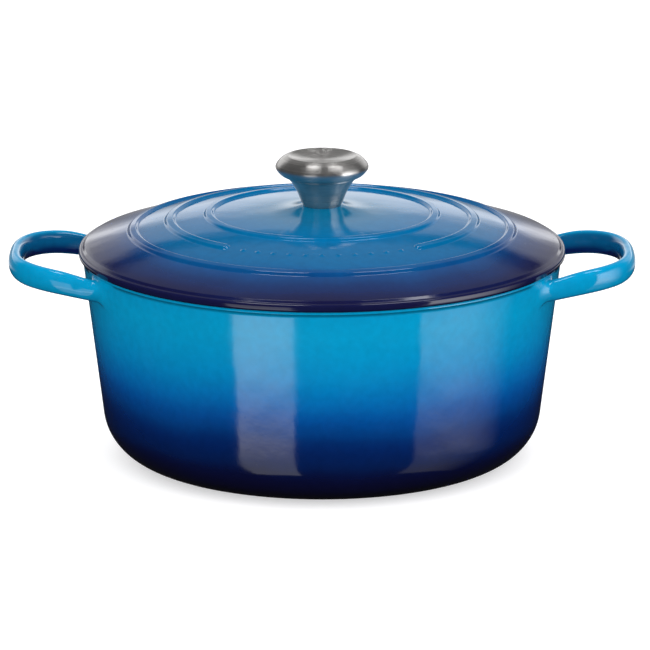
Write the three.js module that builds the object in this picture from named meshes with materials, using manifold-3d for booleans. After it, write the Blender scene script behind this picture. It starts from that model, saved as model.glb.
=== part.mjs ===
// Enamelled cast iron dutch oven: a round pot with two loop handles, a domed lid and a steel knob.
// Millimetres, +Z up. The origin is the middle of the base; the handles lie along X.

import * as THREE from "three";
import { mergeVertices } from "three/addons/utils/BufferGeometryUtils.js";
import Module from "manifold-3d";

const wasm = await Module();
wasm.setup();

// Fit between pieces that touch
const GAP = 0.3;

// Pot
const POT_HEIGHT = 123.7;
const POT_RIM_RADIUS = 144.6;
const POT_FOOT_RADIUS = 129.2; // where the tapered wall would meet the base if the corner were sharp
const POT_CORNER_RADIUS = 31;
const POT_MOUTH_RADIUS = 140.2;
const POT_WALL = 3.8;
const POT_FLOOR = 4.4;
const POT_RIM_ROUND = 1.6;
const FOOT_RING_INNER_RADIUS = 92;
const FOOT_RECESS_DEPTH = 0.8;

// Loop handles, cast in one with the pot
const HANDLE_REACH = 189.2;
const HANDLE_HALF_WIDTH = 58.2;
const HANDLE_BAR_WIDTH = 9;
const HANDLE_BAR_HEIGHT = 14.4;
const HANDLE_EDGE_WIDTH = 4.1; // the bar's edges are rounded to quarter ellipses
const HANDLE_EDGE_HEIGHT = 6.2;
const HANDLE_END_Z = 121; // middle of the bar at the end of the loop
const HANDLE_RISE = 4.5; // how much higher the end of the loop is than its roots
const HANDLE_SQUARENESS = 2.63; // exponent of the superellipse that the loop follows
const HANDLE_ROOT_X = 134; // where the loop's curve would start, inside the wall
const HANDLE_ROOT_FLARE = 10;
const HANDLE_OUTER_BEND = [131, 59.2]; // the flare runs from the wall towards this point, then along the loop
const HANDLE_INNER_BEND = [138, 47.7];
const HANDLE_ROOT_DEPTH = 24; // the loop starts inside the pot, and the cavity trims it

// Lid
const LID_RADIUS = 147;
const LID_RIM_Z = POT_HEIGHT + GAP;
const LID_RIM_HEIGHT = 4.8;
const LID_RIM_ROUND = 1.9;
const LID_WALL = 3.6;
const DOME_CROWN_Z = 151.5;
const DOME_SHOULDER_RADIUS = 117;
const DOME_SHOULDER_DROP = 12.9;
const DOME_FULLNESS = 2.8; // exponent of the crown's curve
const DOME_FOOT_RADIUS = 143.2;
const DOME_FOOT_STEP = 1.6; // the dome starts this much above the rim
const BOSS_TOP_Z = 153.8;
const BOSS_TOP_RADIUS = 12.4;
const BOSS_FOOT_RADIUS = 29;
const RIDGE_HEIGHT = 1.2;
const INNER_RIDGE = [65, 71.6];
const MIDDLE_RIDGE = [88.2, 95.4];
const OUTER_RIDGE = [110.8, 117.6];
const MIDDLE_RIDGE_OPENING = THREE.MathUtils.degToRad(78); // left open at the front
const PIP_COUNT = 11;
const PIP_ROW_SHARE = 0.78; // how much of the opening the row of pips fills
const PIP_LENGTH = 4.2;
const PIP_WIDTH = 2.6;
const PIP_HEIGHT = 0.9;
const FLANGE_OUTER_RADIUS = 137.2;
const FLANGE_INNER_RADIUS = 133.4;
const FLANGE_DEPTH = 6;
const LUG_COUNT = 4;
const LUG_LENGTH = 12;
const LUG_RADIUS = 138.8; // 1.4 mm short of the mouth
const SCREW_HOLE_RADIUS = 3.5;

// Knob
const KNOB_BASE_Z = BOSS_TOP_Z + GAP;
const KNOB_HEIGHT = 30.6;
const KNOB_SEAM_HEIGHT = 17.4;
const KNOB_SKIN = 1.2;
const KNOB_FLOOR = 1.8; // top of the stem's floor, where the bush sits
const KNOB_BASE_RADIUS = 10.9;
const KNOB_SEAM_RADIUS = 21.5;
const KNOB_DISH_RADIUS = 20.4;
const KNOB_DISH_DEPTH = 2.6;
// [radius, height] of the knob's outside, from its foot to the seam and from the seam to the dish
const KNOB_STEM_KNOTS = [
  [11.8, 1],
  [12.9, 3.1],
  [14.7, 7.8],
  [17.4, 12.7],
  [20, 16.3],
  [KNOB_SEAM_RADIUS, KNOB_SEAM_HEIGHT],
];
const KNOB_HEAD_KNOTS = [
  [KNOB_SEAM_RADIUS + 0.1, KNOB_SEAM_HEIGHT + GAP],
  [25.2, 19.5],
  [28.1, 23.8],
  [25.3, 28.3],
  [KNOB_DISH_RADIUS + 1.2, KNOB_HEIGHT - 0.2],
  [KNOB_DISH_RADIUS - 0.4, KNOB_HEIGHT],
];

// Fastening: an M6 screw from under the lid into a bush inside the knob
const SCREW_RADIUS = 3;
const SCREW_HEAD_RADIUS = 5.6;
const SCREW_HEAD_HEIGHT = 3.4;
const SCREW_TIP_CLEARANCE = 2.2; // how far the screw stops short of the bush's top
const SLOT_LENGTH = 5.6; // each slot of the screw's cross recess
const SLOT_WIDTH = 1.2;
const SLOT_DEPTH = 1.6;
const WASHER_RADIUS = 7.5;
const WASHER_THICKNESS = 1.2;
const SPRING_WASHER_RADIUS = 5.8;
const SPRING_WASHER_THICKNESS = 1.6;
const SPRING_WASHER_SPLIT = 0.9;
const SPRING_WASHER_SLANT = THREE.MathUtils.degToRad(35);
const WASHER_BORE_RADIUS = 3.35;
const BUSH_RADIUS = 6;
const BUSH_FLANGE_RADIUS = 8.4;
const BUSH_FLANGE_HEIGHT = 2;
const BUSH_HEIGHT = 14;
const BUSH_BORE_RADIUS = SCREW_RADIUS + GAP;

// Smoothness
const BODY_SEGMENTS = 60;
const KNOB_SEGMENTS = 32;
const SMALL_SEGMENTS = 20;

const ENAMEL = { color: 0x0878b4, roughness: 0.22, metalness: 0 };
const STEEL = { color: 0xc9ccd0, roughness: 0.3, metalness: 1 };
const SCREW_STEEL = { color: 0xa9adb2, roughness: 0.38, metalness: 1 };

// ---- Solids ---------------------------------------------------------------------------------

function solidOf(geometry) {
  const bare = geometry.index ? geometry.toNonIndexed() : geometry.clone();
  bare.deleteAttribute("normal");
  bare.deleteAttribute("uv");
  const merged = mergeVertices(bare, 1e-4);
  return new wasm.Manifold(
    new wasm.Mesh({
      numProp: 3,
      vertProperties: merged.attributes.position.array,
      triVerts: new Uint32Array(merged.index.array),
    }),
  );
}

function meshOf(name, solid, look) {
  const mesh = solid.getMesh();
  const geometry = new THREE.BufferGeometry();
  geometry.setAttribute("position", new THREE.BufferAttribute(mesh.vertProperties, 3));
  geometry.setIndex(new THREE.BufferAttribute(mesh.triVerts, 1));
  geometry.computeVertexNormals();
  const made = new THREE.Mesh(geometry, new THREE.MeshStandardMaterial(look));
  made.name = name;
  return made;
}

// Turns a closed outline of [radius, height] points, listed anticlockwise, about the Z axis.
function turned(outline, segments) {
  const profile = outline.map(([radius, height]) => new THREE.Vector2(Math.max(radius, 0), height));
  if (outline[0][0] > 0 || outline.at(-1)[0] > 0) profile.push(profile[0].clone());
  return solidOf(new THREE.LatheGeometry(profile, segments).rotateX(Math.PI / 2));
}

function ring(inner, outer, low, high) {
  return turned(
    [
      [inner, low],
      [outer, low],
      [outer, high],
      [inner, high],
    ],
    SMALL_SEGMENTS,
  );
}

// ---- Outlines -------------------------------------------------------------------------------

// A polyline with its corners rounded. Each corner is [x, y] or [x, y, rounding radius].
function rounded(corners) {
  const points = [];
  corners.forEach(([x, y, radius], i) => {
    if (!radius) {
      points.push([x, y]);
      return;
    }
    const corner = new THREE.Vector2(x, y);
    const before = new THREE.Vector2(...corners.at(i - 1)).sub(corner).normalize();
    const after = new THREE.Vector2(...corners[(i + 1) % corners.length]).sub(corner).normalize();
    const half = before.angleTo(after) / 2;
    const centre = before.clone().add(after).setLength(radius / Math.sin(half)).add(corner);
    const start = before.setLength(radius / Math.tan(half)).add(corner).sub(centre);
    const turn = Math.PI - 2 * half;
    const left = start.cross(corner.clone().sub(centre)) > 0;
    const steps = Math.max(2, Math.ceil((turn / Math.PI) * Math.min(11, 4 + radius)));
    for (let step = 0; step <= steps; step++) {
      const spoke = start.clone().rotateAround(new THREE.Vector2(), ((left ? 1 : -1) * turn * step) / steps);
      points.push([centre.x + spoke.x, centre.y + spoke.y]);
    }
  });
  return points;
}

// Points along a smooth curve through a few [x, y] knots.
function smooth(knots, steps) {
  const curve = new THREE.SplineCurve(knots.map(([x, y]) => new THREE.Vector2(x, y)));
  return curve.getPoints(steps).map((point) => [point.x, point.y]);
}

// A smooth curve moved sideways by a distance, to its left as it runs.
function offset(points, distance) {
  return points.map((point, i) => {
    const previous = points[Math.max(i - 1, 0)];
    const next = points[Math.min(i + 1, points.length - 1)];
    const along = new THREE.Vector2(next[0] - previous[0], next[1] - previous[1]).normalize();
    return [point[0] - along.y * distance, point[1] + along.x * distance];
  });
}

// ---- Pot ------------------------------------------------------------------------------------

function potWallRadius(z) {
  return POT_FOOT_RADIUS + ((POT_RIM_RADIUS - POT_FOOT_RADIUS) * z) / POT_HEIGHT;
}

function potOutside() {
  return turned(
    rounded([
      [0, FOOT_RECESS_DEPTH],
      [FOOT_RING_INNER_RADIUS - FOOT_RECESS_DEPTH, FOOT_RECESS_DEPTH],
      [FOOT_RING_INNER_RADIUS, 0],
      [POT_FOOT_RADIUS, 0, POT_CORNER_RADIUS],
      [POT_RIM_RADIUS, POT_HEIGHT, POT_RIM_ROUND],
      [POT_MOUTH_RADIUS, POT_HEIGHT],
      [0, POT_HEIGHT],
    ]),
    BODY_SEGMENTS,
  );
}

function potCavity() {
  const innerFoot = potWallRadius(POT_FLOOR) - POT_WALL;
  return turned(
    rounded([
      [0, POT_FLOOR],
      [innerFoot, POT_FLOOR, POT_CORNER_RADIUS - POT_WALL],
      [POT_MOUTH_RADIUS, POT_HEIGHT - POT_RIM_ROUND],
      [POT_MOUTH_RADIUS + POT_RIM_ROUND, POT_HEIGHT],
      [POT_MOUTH_RADIUS + POT_RIM_ROUND, POT_HEIGHT + 1],
      [0, POT_HEIGHT + 1],
    ]),
    BODY_SEGMENTS,
  );
}

// Half of a superellipse on the +X side of x = root, from -Y to +Y.
function loopCurve(root, reach, halfWidth, steps) {
  const power = 2 / HANDLE_SQUARENESS;
  return Array.from({ length: steps + 1 }, (_, i) => {
    const angle = Math.PI * (i / steps - 0.5);
    const x = root + (reach - root) * Math.max(Math.cos(angle), 0) ** power;
    const y = halfWidth * Math.sign(angle) * Math.abs(Math.sin(angle)) ** power;
    return new THREE.Vector2(x, y);
  });
}

// The point at a radius from the pot's axis, in line with where the wall is that far off the X axis.
function inLineWithWall(offAxis, radius) {
  const angle = Math.asin(offAxis / potWallRadius(HANDLE_END_Z - HANDLE_RISE));
  return [radius * Math.cos(angle), radius * Math.sin(angle)];
}

// Draws one edge of a handle: out of the wall on the -Y side, round the loop and back into the wall.
function drawLoop(path, loop, rootHalfWidth, bend, skipped) {
  const wall = potWallRadius(HANDLE_END_Z - HANDLE_RISE);
  const [wallX, wallY] = inLineWithWall(rootHalfWidth, wall);
  const [insideX, insideY] = inLineWithWall(rootHalfWidth, wall - HANDLE_ROOT_DEPTH);
  const [bendX, bendY] = bend;
  const kept = loop.slice(skipped, -skipped);
  path.moveTo(insideX, -insideY);
  path.lineTo(wallX, -wallY);
  path.quadraticCurveTo(bendX, -bendY, kept[0].x, kept[0].y);
  kept.slice(1).forEach((point) => path.lineTo(point.x, point.y));
  path.quadraticCurveTo(bendX, bendY, wallX, wallY);
  path.lineTo(insideX, insideY);
}

// Plan of one handle: the loop's outer edge flares into the wall, and its opening has round corners.
function handlePlan() {
  const openingReach = HANDLE_REACH - HANDLE_BAR_WIDTH;
  const openingHalfWidth = HANDLE_HALF_WIDTH - HANDLE_BAR_WIDTH;
  const outer = loopCurve(HANDLE_ROOT_X, HANDLE_REACH, HANDLE_HALF_WIDTH, 28);
  const inner = loopCurve(HANDLE_ROOT_X, openingReach, openingHalfWidth, 24);
  const plan = new THREE.Shape();
  const opening = new THREE.Path();
  drawLoop(plan, outer, HANDLE_HALF_WIDTH + HANDLE_ROOT_FLARE, HANDLE_OUTER_BEND, 2);
  drawLoop(opening, inner, openingHalfWidth - HANDLE_ROOT_FLARE, HANDLE_INNER_BEND, 3);
  plan.holes.push(opening);
  return plan;
}

function handle(turn) {
  const geometry = new THREE.ExtrudeGeometry(handlePlan(), {
    depth: HANDLE_BAR_HEIGHT - 2 * HANDLE_EDGE_HEIGHT,
    bevelThickness: HANDLE_EDGE_HEIGHT,
    bevelSize: HANDLE_EDGE_WIDTH,
    bevelOffset: -HANDLE_EDGE_WIDTH,
    bevelSegments: 4,
    curveSegments: 5,
  });
  geometry.translate(0, 0, HANDLE_END_Z - HANDLE_BAR_HEIGHT / 2 + HANDLE_EDGE_HEIGHT);
  const rootX = potWallRadius(HANDLE_END_Z);
  const positions = geometry.attributes.position;
  for (let i = 0; i < positions.count; i++) {
    const short = (HANDLE_REACH - positions.getX(i)) / (HANDLE_REACH - rootX);
    positions.setZ(i, positions.getZ(i) - HANDLE_RISE * Math.min(short, 1.2) ** 2);
  }
  return solidOf(geometry.rotateZ(turn));
}

function pot() {
  const casting = potOutside().add(handle(0)).add(handle(Math.PI)).subtract(potCavity());
  return meshOf("pot", casting, ENAMEL);
}

// ---- Lid ------------------------------------------------------------------------------------

// Height of the dome without its ridges: a full crown, then a shoulder that flattens to the rim.
function domeZ(radius) {
  if (radius < DOME_SHOULDER_RADIUS) {
    return DOME_CROWN_Z - DOME_SHOULDER_DROP * (radius / DOME_SHOULDER_RADIUS) ** DOME_FULLNESS;
  }
  const run = DOME_FOOT_RADIUS - DOME_SHOULDER_RADIUS;
  const along = (radius - DOME_SHOULDER_RADIUS) / run;
  const shoulderZ = DOME_CROWN_Z - DOME_SHOULDER_DROP;
  const footZ = LID_RIM_Z + LID_RIM_HEIGHT + DOME_FOOT_STEP;
  const slope = (-DOME_FULLNESS * DOME_SHOULDER_DROP * run) / DOME_SHOULDER_RADIUS;
  return shoulderZ + slope * along + (footZ - shoulderZ - slope) * along ** 2;
}

// The boss under the knob runs out into the dome along a hollow curve.
function bossZ(radius) {
  const run = BOSS_FOOT_RADIUS - BOSS_TOP_RADIUS;
  const along = THREE.MathUtils.clamp((BOSS_FOOT_RADIUS - radius) / run, 0, 1);
  const dome = domeZ(BOSS_FOOT_RADIUS);
  return dome + (BOSS_TOP_Z - dome) * along ** 2.2;
}

// A raised band on the dome, from its inner foot to its outer foot.
function ridge([inner, outer]) {
  const width = outer - inner;
  const rise = [0, 0.85, 1, 0.85, 0];
  const across = [0, 0.2, 0.5, 0.8, 1];
  return across.map((share, i) => {
    const radius = inner + share * width;
    return [radius, domeZ(radius) + rise[i] * RIDGE_HEIGHT];
  });
}

function onDome(...radii) {
  return radii.map((radius) => [radius, domeZ(radius)]);
}

function lidTop() {
  const boss = Array.from({ length: 6 }, (_, i) => {
    const radius = BOSS_TOP_RADIUS + ((BOSS_FOOT_RADIUS - BOSS_TOP_RADIUS) * i) / 5;
    return [radius, bossZ(radius)];
  });
  return [
    [0, BOSS_TOP_Z],
    ...boss,
    ...onDome(42, 55),
    ...ridge(INNER_RIDGE),
    ...onDome(80),
    ...ridge(MIDDLE_RIDGE),
    ...onDome(103),
    ...ridge(OUTER_RIDGE),
    ...onDome(126, 136, DOME_FOOT_RADIUS),
  ];
}

// Underside: the dome's inner face, a rim that rests on the pot, and a flange that drops into its mouth.
function lidUnderside() {
  const flangeFoot = LID_RIM_Z - FLANGE_DEPTH;
  const innerFace = offset(onDome(0, 40, 70, 92, 110, FLANGE_INNER_RADIUS - 7), -LID_WALL).slice(1);
  return [
    [0, domeZ(0) - LID_WALL],
    ...innerFace,
    ...rounded([
      innerFace.at(-1),
      [FLANGE_INNER_RADIUS - 1, innerFace.at(-1)[1] - 3.6, 4],
      [FLANGE_INNER_RADIUS, flangeFoot, 1],
      [FLANGE_OUTER_RADIUS, flangeFoot, 1.4],
      [FLANGE_OUTER_RADIUS + 0.6, LID_RIM_Z],
      [LID_RADIUS, LID_RIM_Z, LID_RIM_ROUND],
      [LID_RADIUS, LID_RIM_Z + LID_RIM_HEIGHT, LID_RIM_ROUND],
      [DOME_FOOT_RADIUS + DOME_FOOT_STEP, LID_RIM_Z + LID_RIM_HEIGHT + 0.2],
    ]).slice(1),
  ];
}

// What is cut from the middle ridge to open it at the front, leaving a round end on each side.
function ridgeOpening() {
  const [inner, outer] = MIDDLE_RIDGE;
  const middle = (inner + outer) / 2;
  const half = (outer - inner) / 2;
  const start = -Math.PI / 2 - MIDDLE_RIDGE_OPENING / 2;
  const end = -Math.PI / 2 + MIDDLE_RIDGE_OPENING / 2;
  const plan = new THREE.Shape();
  plan.absarc(0, 0, outer + 1, start, end, false);
  plan.absarc(middle * Math.cos(end), middle * Math.sin(end), half, end, end - Math.PI, true);
  plan.absarc(0, 0, inner - 1, end, start, true);
  plan.absarc(middle * Math.cos(start), middle * Math.sin(start), half, start + Math.PI, start, true);
  const geometry = new THREE.ExtrudeGeometry(plan, { depth: 30, bevelEnabled: false, curveSegments: 8 });
  const above = turned(
    [
      [inner, domeZ(inner)],
      [outer, domeZ(outer)],
      [outer, BOSS_TOP_Z],
      [inner, BOSS_TOP_Z],
    ],
    BODY_SEGMENTS,
  );
  return above.intersect(solidOf(geometry.translate(0, 0, LID_RIM_Z)));
}

// A row of plain raised pips fills the opening in the middle ridge.
function pips() {
  const radius = (MIDDLE_RIDGE[0] + MIDDLE_RIDGE[1]) / 2;
  const step = (MIDDLE_RIDGE_OPENING * PIP_ROW_SHARE) / (PIP_COUNT - 1);
  return Array.from({ length: PIP_COUNT }, (_, i) => {
    const angle = -Math.PI / 2 + (i - (PIP_COUNT - 1) / 2) * step;
    const pip = new THREE.Shape();
    pip.absellipse(0, 0, PIP_WIDTH / 2, PIP_LENGTH / 2, 0, 2 * Math.PI, false);
    const depth = 2 * PIP_HEIGHT;
    const geometry = new THREE.ExtrudeGeometry(pip, { depth, bevelEnabled: false, curveSegments: 4 });
    geometry.translate(radius, 0, domeZ(radius) - PIP_HEIGHT);
    return solidOf(geometry.rotateZ(angle));
  });
}

// Short lugs on the flange keep the lid centred in the pot's mouth.
function flangeLugs() {
  return Array.from({ length: LUG_COUNT }, (_, i) => {
    const width = LUG_RADIUS - FLANGE_OUTER_RADIUS;
    const height = FLANGE_DEPTH * 0.7;
    const lug = new THREE.BoxGeometry(2 * width, LUG_LENGTH, height);
    lug.translate(FLANGE_OUTER_RADIUS, 0, LID_RIM_Z - height / 2);
    return solidOf(lug.rotateZ(((i + 0.5) * 2 * Math.PI) / LUG_COUNT));
  });
}

function lid() {
  const outline = [...lidUnderside(), ...lidTop().reverse()];
  const hole = ring(0, SCREW_HOLE_RADIUS, LID_RIM_Z, BOSS_TOP_Z + 1);
  let casting = turned(outline, BODY_SEGMENTS).subtract(ridgeOpening());
  [...pips(), ...flangeLugs()].forEach((piece) => {
    casting = casting.add(piece);
  });
  return meshOf("lid", casting.subtract(hole), ENAMEL);
}

// ---- Knob -----------------------------------------------------------------------------------

function knobStem() {
  const outside = smooth(KNOB_STEM_KNOTS, 7);
  const inside = offset(outside, KNOB_SKIN).slice(1).reverse();
  return turned(
    [
      [SCREW_HOLE_RADIUS, 0],
      [KNOB_BASE_RADIUS, 0],
      ...outside,
      ...inside,
      [BUSH_FLANGE_RADIUS + 1, KNOB_FLOOR],
      [SCREW_HOLE_RADIUS, KNOB_FLOOR],
    ],
    KNOB_SEGMENTS,
  );
}

function knobHead() {
  const dishZ = KNOB_HEIGHT - KNOB_DISH_DEPTH;
  const dish = smooth(
    [
      [KNOB_DISH_RADIUS - 2, KNOB_HEIGHT - 0.4],
      [KNOB_DISH_RADIUS * 0.6, KNOB_HEIGHT - KNOB_DISH_DEPTH * 0.66],
      [0, dishZ],
    ],
    3,
  );
  const outside = [...smooth(KNOB_HEAD_KNOTS, 10), ...dish];
  const inside = offset(outside, KNOB_SKIN).reverse().slice(1);
  return turned([[0, dishZ - KNOB_SKIN], ...inside, ...outside], KNOB_SEGMENTS);
}

function knobBush() {
  const low = KNOB_FLOOR + GAP;
  const flangeTop = low + BUSH_FLANGE_HEIGHT;
  return turned(
    [
      [BUSH_BORE_RADIUS, low],
      [BUSH_FLANGE_RADIUS, low],
      [BUSH_FLANGE_RADIUS, flangeTop],
      [BUSH_RADIUS, flangeTop],
      [BUSH_RADIUS, low + BUSH_HEIGHT],
      [BUSH_BORE_RADIUS, low + BUSH_HEIGHT],
    ],
    SMALL_SEGMENTS,
  );
}

function knob() {
  const group = new THREE.Group();
  group.position.z = KNOB_BASE_Z;
  group.add(meshOf("knob_stem", knobStem(), STEEL));
  group.add(meshOf("knob_head", knobHead(), STEEL));
  group.add(meshOf("knob_bush", knobBush(), SCREW_STEEL));
  return group;
}

// ---- Fastening ------------------------------------------------------------------------------

function springWasher(low, high) {
  const split = new THREE.BoxGeometry(SPRING_WASHER_RADIUS, SPRING_WASHER_SPLIT, 4 * (high - low));
  split.rotateX(SPRING_WASHER_SLANT);
  split.translate(SPRING_WASHER_RADIUS * 0.8, 0, (low + high) / 2);
  return ring(WASHER_BORE_RADIUS, SPRING_WASHER_RADIUS, low, high).subtract(solidOf(split));
}

function screw(headTop) {
  const bushTop = KNOB_BASE_Z + KNOB_FLOOR + GAP + BUSH_HEIGHT;
  const tip = bushTop - SCREW_TIP_CLEARANCE;
  const headLow = headTop - SCREW_HEAD_HEIGHT;
  const body = turned(
    rounded([
      [0, headLow],
      [SCREW_HEAD_RADIUS - 0.4, headLow, 2.2],
      [SCREW_HEAD_RADIUS, headTop],
      [SCREW_RADIUS, headTop],
      [SCREW_RADIUS, tip - 1],
      [SCREW_RADIUS - 1, tip],
      [0, tip],
    ]),
    SMALL_SEGMENTS,
  );
  const slot = () => new THREE.BoxGeometry(SLOT_LENGTH, SLOT_WIDTH, 2 * SLOT_DEPTH).translate(0, 0, headLow);
  return body.subtract(solidOf(slot())).subtract(solidOf(slot().rotateZ(Math.PI / 2)));
}

function fastening() {
  const group = new THREE.Group();
  const washerTop = domeZ(0) - LID_WALL - GAP;
  const springTop = washerTop - WASHER_THICKNESS - GAP;
  const headTop = springTop - SPRING_WASHER_THICKNESS - GAP;
  const flat = ring(WASHER_BORE_RADIUS, WASHER_RADIUS, washerTop - WASHER_THICKNESS, washerTop);
  const spring = springWasher(springTop - SPRING_WASHER_THICKNESS, springTop);
  group.add(meshOf("flat_washer", flat, SCREW_STEEL));
  group.add(meshOf("spring_washer", spring, SCREW_STEEL));
  group.add(meshOf("knob_screw", screw(headTop), SCREW_STEEL));
  return group;
}

// ---- Assembly -------------------------------------------------------------------------------

const dutchOven = new THREE.Group();
dutchOven.add(pot(), lid(), knob(), fastening());

export default dutchOven;
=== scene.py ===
import math

import bmesh
import bpy
import numpy as np
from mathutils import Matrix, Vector


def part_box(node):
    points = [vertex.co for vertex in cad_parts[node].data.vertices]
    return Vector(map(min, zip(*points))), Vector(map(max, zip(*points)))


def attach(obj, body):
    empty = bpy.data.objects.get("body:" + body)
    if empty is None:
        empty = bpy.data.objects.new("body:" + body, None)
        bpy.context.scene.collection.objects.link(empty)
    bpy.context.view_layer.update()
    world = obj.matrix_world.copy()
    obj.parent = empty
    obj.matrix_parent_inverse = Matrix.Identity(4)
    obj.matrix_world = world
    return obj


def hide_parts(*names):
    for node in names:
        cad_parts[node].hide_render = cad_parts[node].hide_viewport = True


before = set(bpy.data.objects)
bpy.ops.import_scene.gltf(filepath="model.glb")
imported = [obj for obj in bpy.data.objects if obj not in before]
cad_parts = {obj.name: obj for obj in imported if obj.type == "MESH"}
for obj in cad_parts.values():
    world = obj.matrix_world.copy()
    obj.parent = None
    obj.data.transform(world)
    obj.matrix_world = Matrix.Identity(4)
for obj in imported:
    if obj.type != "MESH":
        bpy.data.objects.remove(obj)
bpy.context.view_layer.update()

# Enamelled cast iron dutch oven. Metres, in the CAD model's frame: +Z up, handles along X, front towards -Y.
MM = 0.001

POT_LOW, POT_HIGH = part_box("pot")
LID_LOW, LID_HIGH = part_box("lid")
STEM_LOW, STEM_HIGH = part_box("knob_stem")
HEAD_LOW, HEAD_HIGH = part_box("knob_head")

# ---- Sizes --------------------------------------------------------------------------------------

GAP = 0.3 * MM
FLANGE_DEPTH = 6 * MM
LID_RIM_Z = LID_LOW.z + FLANGE_DEPTH
POT_RIM_Z = LID_RIM_Z - GAP

POT_RIM_RADIUS = POT_HIGH.y + 0.2 * MM  # where the straight wall would meet the rim's plane
POT_FOOT_RADIUS = POT_RIM_RADIUS - 15.4 * MM
POT_CORNER_RADIUS = 31 * MM
POT_MOUTH_RADIUS = 140.2 * MM
POT_WALL = 3.8 * MM
POT_FLOOR = 4.4 * MM
POT_RIM_ROUND = 1.3 * MM
FOOT_RING_INNER = 92 * MM
FOOT_RECESS = 0.8 * MM

BAR_HALF_WIDTH = 4.5 * MM
BAR_HALF_HEIGHT = 7.2 * MM
BAR_SQUARENESS = 2.15
LOOP_REACH = POT_HIGH.x - BAR_HALF_WIDTH
LOOP_HALF_WIDTH = 53.7 * MM
LOOP_SQUARENESS = 2.63
LOOP_START_X = 134 * MM
RUN_IN = 16 * MM  # how far the bar runs on straight inside the wall
LOOP_END_Z = POT_HIGH.z - BAR_HALF_HEIGHT
LOOP_RISE = 4.5 * MM
LOOP_WALL_X = 144.3 * MM
TIP_LIFT = 1.5 * MM  # how much higher the underside is at the outer edge of the loop's end

ROOT_FILLETS = {"outer": 13 * MM, "inner": 8.5 * MM, "top": 1.2 * MM, "bottom": 2.6 * MM}
ROOT_SQUASH = 0.2  # how much flatter the bar's upper half is where it joins the wall
ROOT_ANGLES = (14, 32)  # degrees about the axis that each root's patch of the wall covers
ROOT_LOW_Z = 102.6 * MM
ROOT_ROWS = 9

LID_RADIUS = LID_HIGH.x
LID_RIM_HEIGHT = 4.8 * MM
LID_RIM_ROUND = 1.9 * MM
LID_WALL = 3.6 * MM
CROWN_Z = 151.5 * MM
SHOULDER_RADIUS = 117 * MM
SHOULDER_DROP = 12.9 * MM
DOME_FULLNESS = 2.8
DOME_FOOT_RADIUS = 143.2 * MM
DOME_FOOT_Z = LID_RIM_Z + LID_RIM_HEIGHT + 1.6 * MM
BOSS_TOP_Z = LID_HIGH.z
BOSS_TOP_RADIUS = 12.4 * MM
BOSS_FOOT_RADIUS = 34 * MM
RIDGE_HEIGHT = 1.6 * MM
INNER_RIDGE = (65 * MM, 71.6 * MM)
MIDDLE_RIDGE = (88.2 * MM, 95.4 * MM)
OUTER_RIDGE = (110.8 * MM, 117.6 * MM)
RIDGE_OPENING = math.radians(78)
PIP_COUNT = 11
PIP_ROW_SHARE = 0.78
PIP_LENGTH = 4.8 * MM
PIP_WIDTH = 4 * MM
PIP_HEIGHT = 0.9 * MM
FLANGE_OUTER = 137.2 * MM
FLANGE_INNER = 133.4 * MM
LUG_RADIUS = 138.8 * MM
LUG_LENGTH = 12 * MM
LUG_COUNT = 4
SCREW_HOLE = 3.5 * MM
KNOB_SKIN = 1.2 * MM
WASHER_BORE = 3.35 * MM


# ---- Meshes -------------------------------------------------------------------------------------

def unit(vector):
    return vector / np.linalg.norm(vector)


def eased(low, high, value):
    """0 up to low, 1 from high on, and a soft S between them."""
    share = np.clip((value - low) / (high - low), 0, 1)
    return share * share * (3 - 2 * share)


def blended(first, second, share):
    return first * (1 - share) + second * share


def rounded(corners, step=math.radians(9)):
    """A polyline with its corners rounded. Each corner is (radius, height) or (radius, height, rounding)."""
    points = []
    for i, corner in enumerate(corners):
        here = np.array(corner[:2], float)
        if len(corner) < 3:
            points.append(here)
            continue
        before = unit(np.array(corners[i - 1][:2], float) - here)
        after = unit(np.array(corners[(i + 1) % len(corners)][:2], float) - here)
        half = math.acos(np.clip(before @ after, -1, 1)) / 2
        centre = here + unit(before + after) * corner[2] / math.sin(half)
        start = here + before * corner[2] / math.tan(half) - centre
        end = here + after * corner[2] / math.tan(half) - centre
        turn = math.pi - 2 * half
        for share in np.linspace(0, 1, max(2, math.ceil(turn / step)) + 1):
            spoke = start * math.sin((1 - share) * turn) + end * math.sin(share * turn)
            points.append(centre + spoke / math.sin(turn))
    return points


def refined(points, longest):
    """The same polyline with its long runs divided."""
    made = [points[0]]
    for low, high in zip(points, points[1:]):
        parts = max(1, math.ceil(np.linalg.norm(np.subtract(high, low)) / longest))
        made += [np.add(low, np.subtract(high, low) * k / parts) for k in range(1, parts + 1)]
    return made


def smooth(knots, parts):
    """Points along a smooth (Catmull-Rom) curve through a few knots."""
    knots = np.array(knots, float)
    padded = np.vstack([knots[0], knots, knots[-1]])
    made = []
    for t in np.linspace(0, len(knots) - 1, parts + 1):
        i = min(int(t), len(knots) - 2)
        a, b, c, d = padded[i:i + 4]
        u = t - i
        bend = (2 * a - 5 * b + 4 * c - d) * u**2 + (3 * b - a - 3 * c + d) * u**3
        made.append(0.5 * (2 * b + (c - a) * u + bend))
    return made


def grid_faces(rows, columns, first=0):
    """Quads of a grid of vertices stored row by row, facing out if the rows run anticlockwise in section."""
    j, i = np.meshgrid(np.arange(rows - 1), np.arange(columns - 1), indexing="ij")
    low = first + j * columns + i
    return np.stack([low, low + 1, low + columns + 1, low + columns], -1)


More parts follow.
